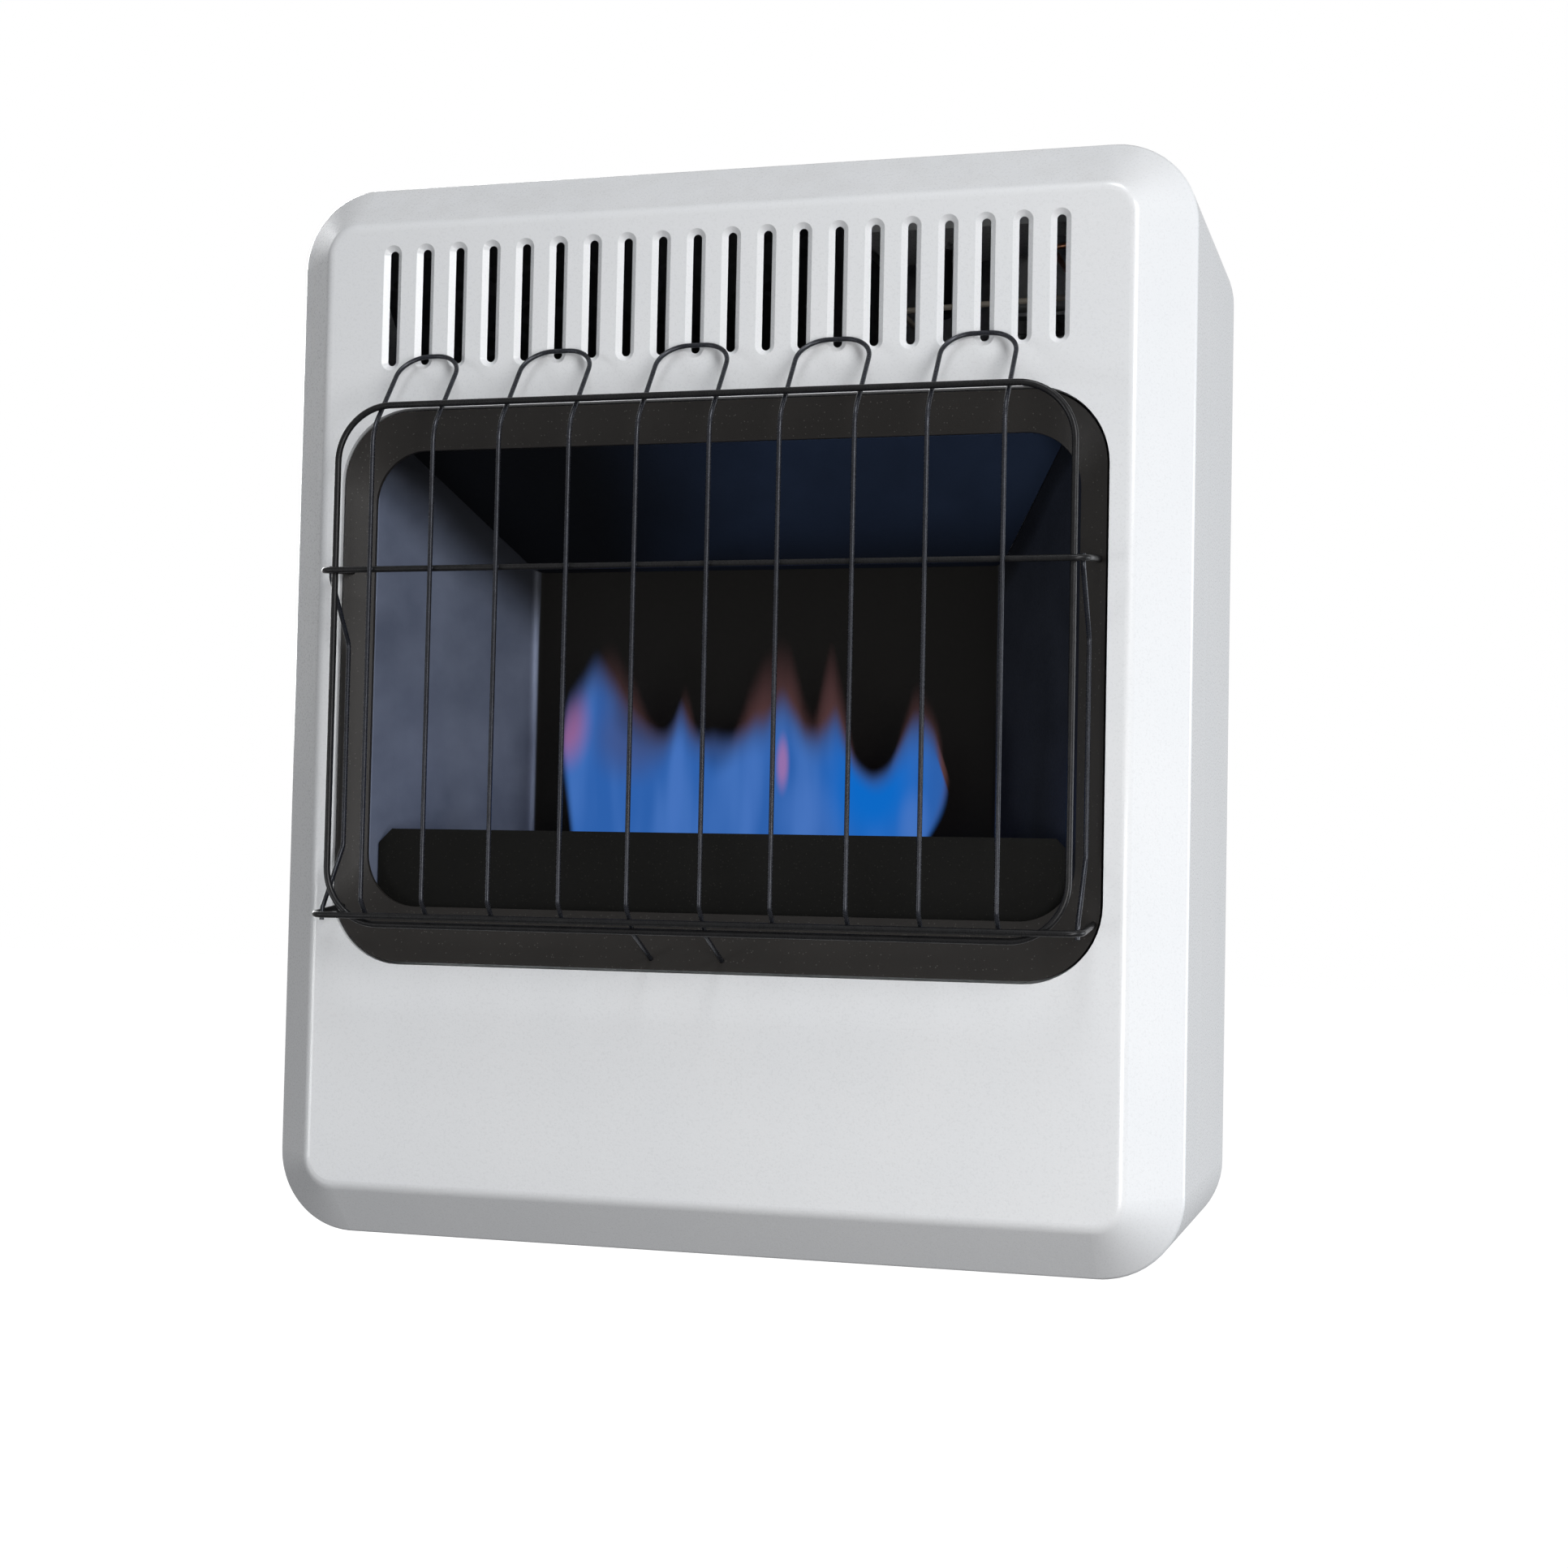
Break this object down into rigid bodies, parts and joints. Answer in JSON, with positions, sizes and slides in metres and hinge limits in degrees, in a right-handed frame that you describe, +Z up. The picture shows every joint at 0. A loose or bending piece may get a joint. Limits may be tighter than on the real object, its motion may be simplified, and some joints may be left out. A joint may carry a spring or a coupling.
{
  "type": "ventless gas heater",
  "caption": "Wall-hung blue-flame gas heater: bevelled white cover with top slots, dark-framed firebox window behind a wire guard, and push-turn control on top.",
  "frame": {"origin": "centre of the bounding box's base: the cabinet's flat bottom is at z 0", "axes": "+X to the heater's right as seen from the front, front faces -Y and the wall is at +Y, +Z up"},
  "size_m": [0.52, 0.27, 0.6125],
  "materials": {
    "white_enamel": "gloss",
    "dark_enamel": "satin",
    "black_enamel": "satin",
    "firebox_steel": "satin",
    "burner_steel": "satin",
    "zinc_sheet": "satin",
    "zinc_screw": "satin",
    "steel_stem": "satin",
    "cast_alloy": "as cast",
    "alloy_pipe": "satin",
    "brass_fitting": "satin",
    "copper_lead": "satin",
    "ceramic_white": "glazed",
    "black_plastic": "matte",
    "red_plastic": "gloss",
    "lead_sleeve": "matte",
    "rubber_foot": "matte",
    "guard_wire": "satin"
  },
  "bodies": {
    "heater": {"front_panel": "white_enamel", "rear_casing": "white_enamel", "control_tray": "white_enamel", "window_bezel": "dark_enamel", "back_panel": "zinc_sheet", "back_panel_screws": "zinc_screw", "cover_screws": "zinc_screw", "valve_screws": "zinc_screw", "firebox_wrap": "firebox_steel", "firebox_ceiling": "firebox_steel", "base_shelf": "zinc_sheet", "burner_shield": "black_enamel", "burner_tube": "burner_steel", "burner_saddles": "zinc_sheet", "orifice_bracket": "zinc_sheet", "orifice_fitting": "brass_fitting", "pilot_bracket": "zinc_sheet", "pilot_burner": "burner_steel", "pilot_electrode": "ceramic_white", "thermocouple": "copper_lead", "gas_valve": "cast_alloy", "valve_bracket": "zinc_sheet", "igniter_body": "black_plastic", "igniter_nut": "zinc_screw", "regulator": "cast_alloy", "inlet_fitting": "brass_fitting", "supply_line": "alloy_pipe", "burner_line": "alloy_pipe", "pilot_line": "alloy_pipe", "thermocouple_lead": "copper_lead", "igniter_lead": "lead_sleeve", "thermostat_bulb": "copper_lead", "bulb_clips": "zinc_sheet", "thermostat_capillary": "copper_lead", "rear_heat_shield": "zinc_sheet", "top_deflector": "zinc_sheet", "control_heat_shield": "zinc_sheet", "firebox_bracket_left": "zinc_sheet", "firebox_bracket_right": "zinc_sheet", "wall_bracket": "zinc_sheet", "wall_spacers": "rubber_foot", "guard_frame": "guard_wire", "guard_mid_bar": "guard_wire", "guard_bottom_bar": "guard_wire", "guard_side_wire_left": "guard_wire", "guard_side_wire_right": "guard_wire", "guard_hairpin_1": "guard_wire", "guard_hairpin_2": "guard_wire", "guard_hairpin_3": "guard_wire", "guard_hairpin_4": "guard_wire", "guard_hairpin_5": "guard_wire"},
    "push_collar": {"stem_collar": "steel_stem"},
    "knob_and_stem": {"valve_stem": "steel_stem", "control_knob": "black_plastic"},
    "igniter_plunger": {"igniter_button": "red_plastic"}
  },
  "joints": [
    {"name": "knob_push", "type": "slide", "parent": "heater", "child": "push_collar", "axis": [0, 0, -1], "range_m": [0, 0.004], "stiffness_N_per_m": 400, "springref_m": -0.003},
    {"name": "knob_turn", "type": "hinge", "parent": "push_collar", "child": "knob_and_stem", "pos_m": [0.164, 0.05705, 0.5925], "axis": [0, 0, 1], "range_deg": [-240, 0]},
    {"name": "igniter_push", "type": "slide", "parent": "heater", "child": "igniter_plunger", "axis": [0, 0, -1], "range_m": [0, 0.006], "stiffness_N_per_m": 400, "springref_m": -0.003}
  ]
}
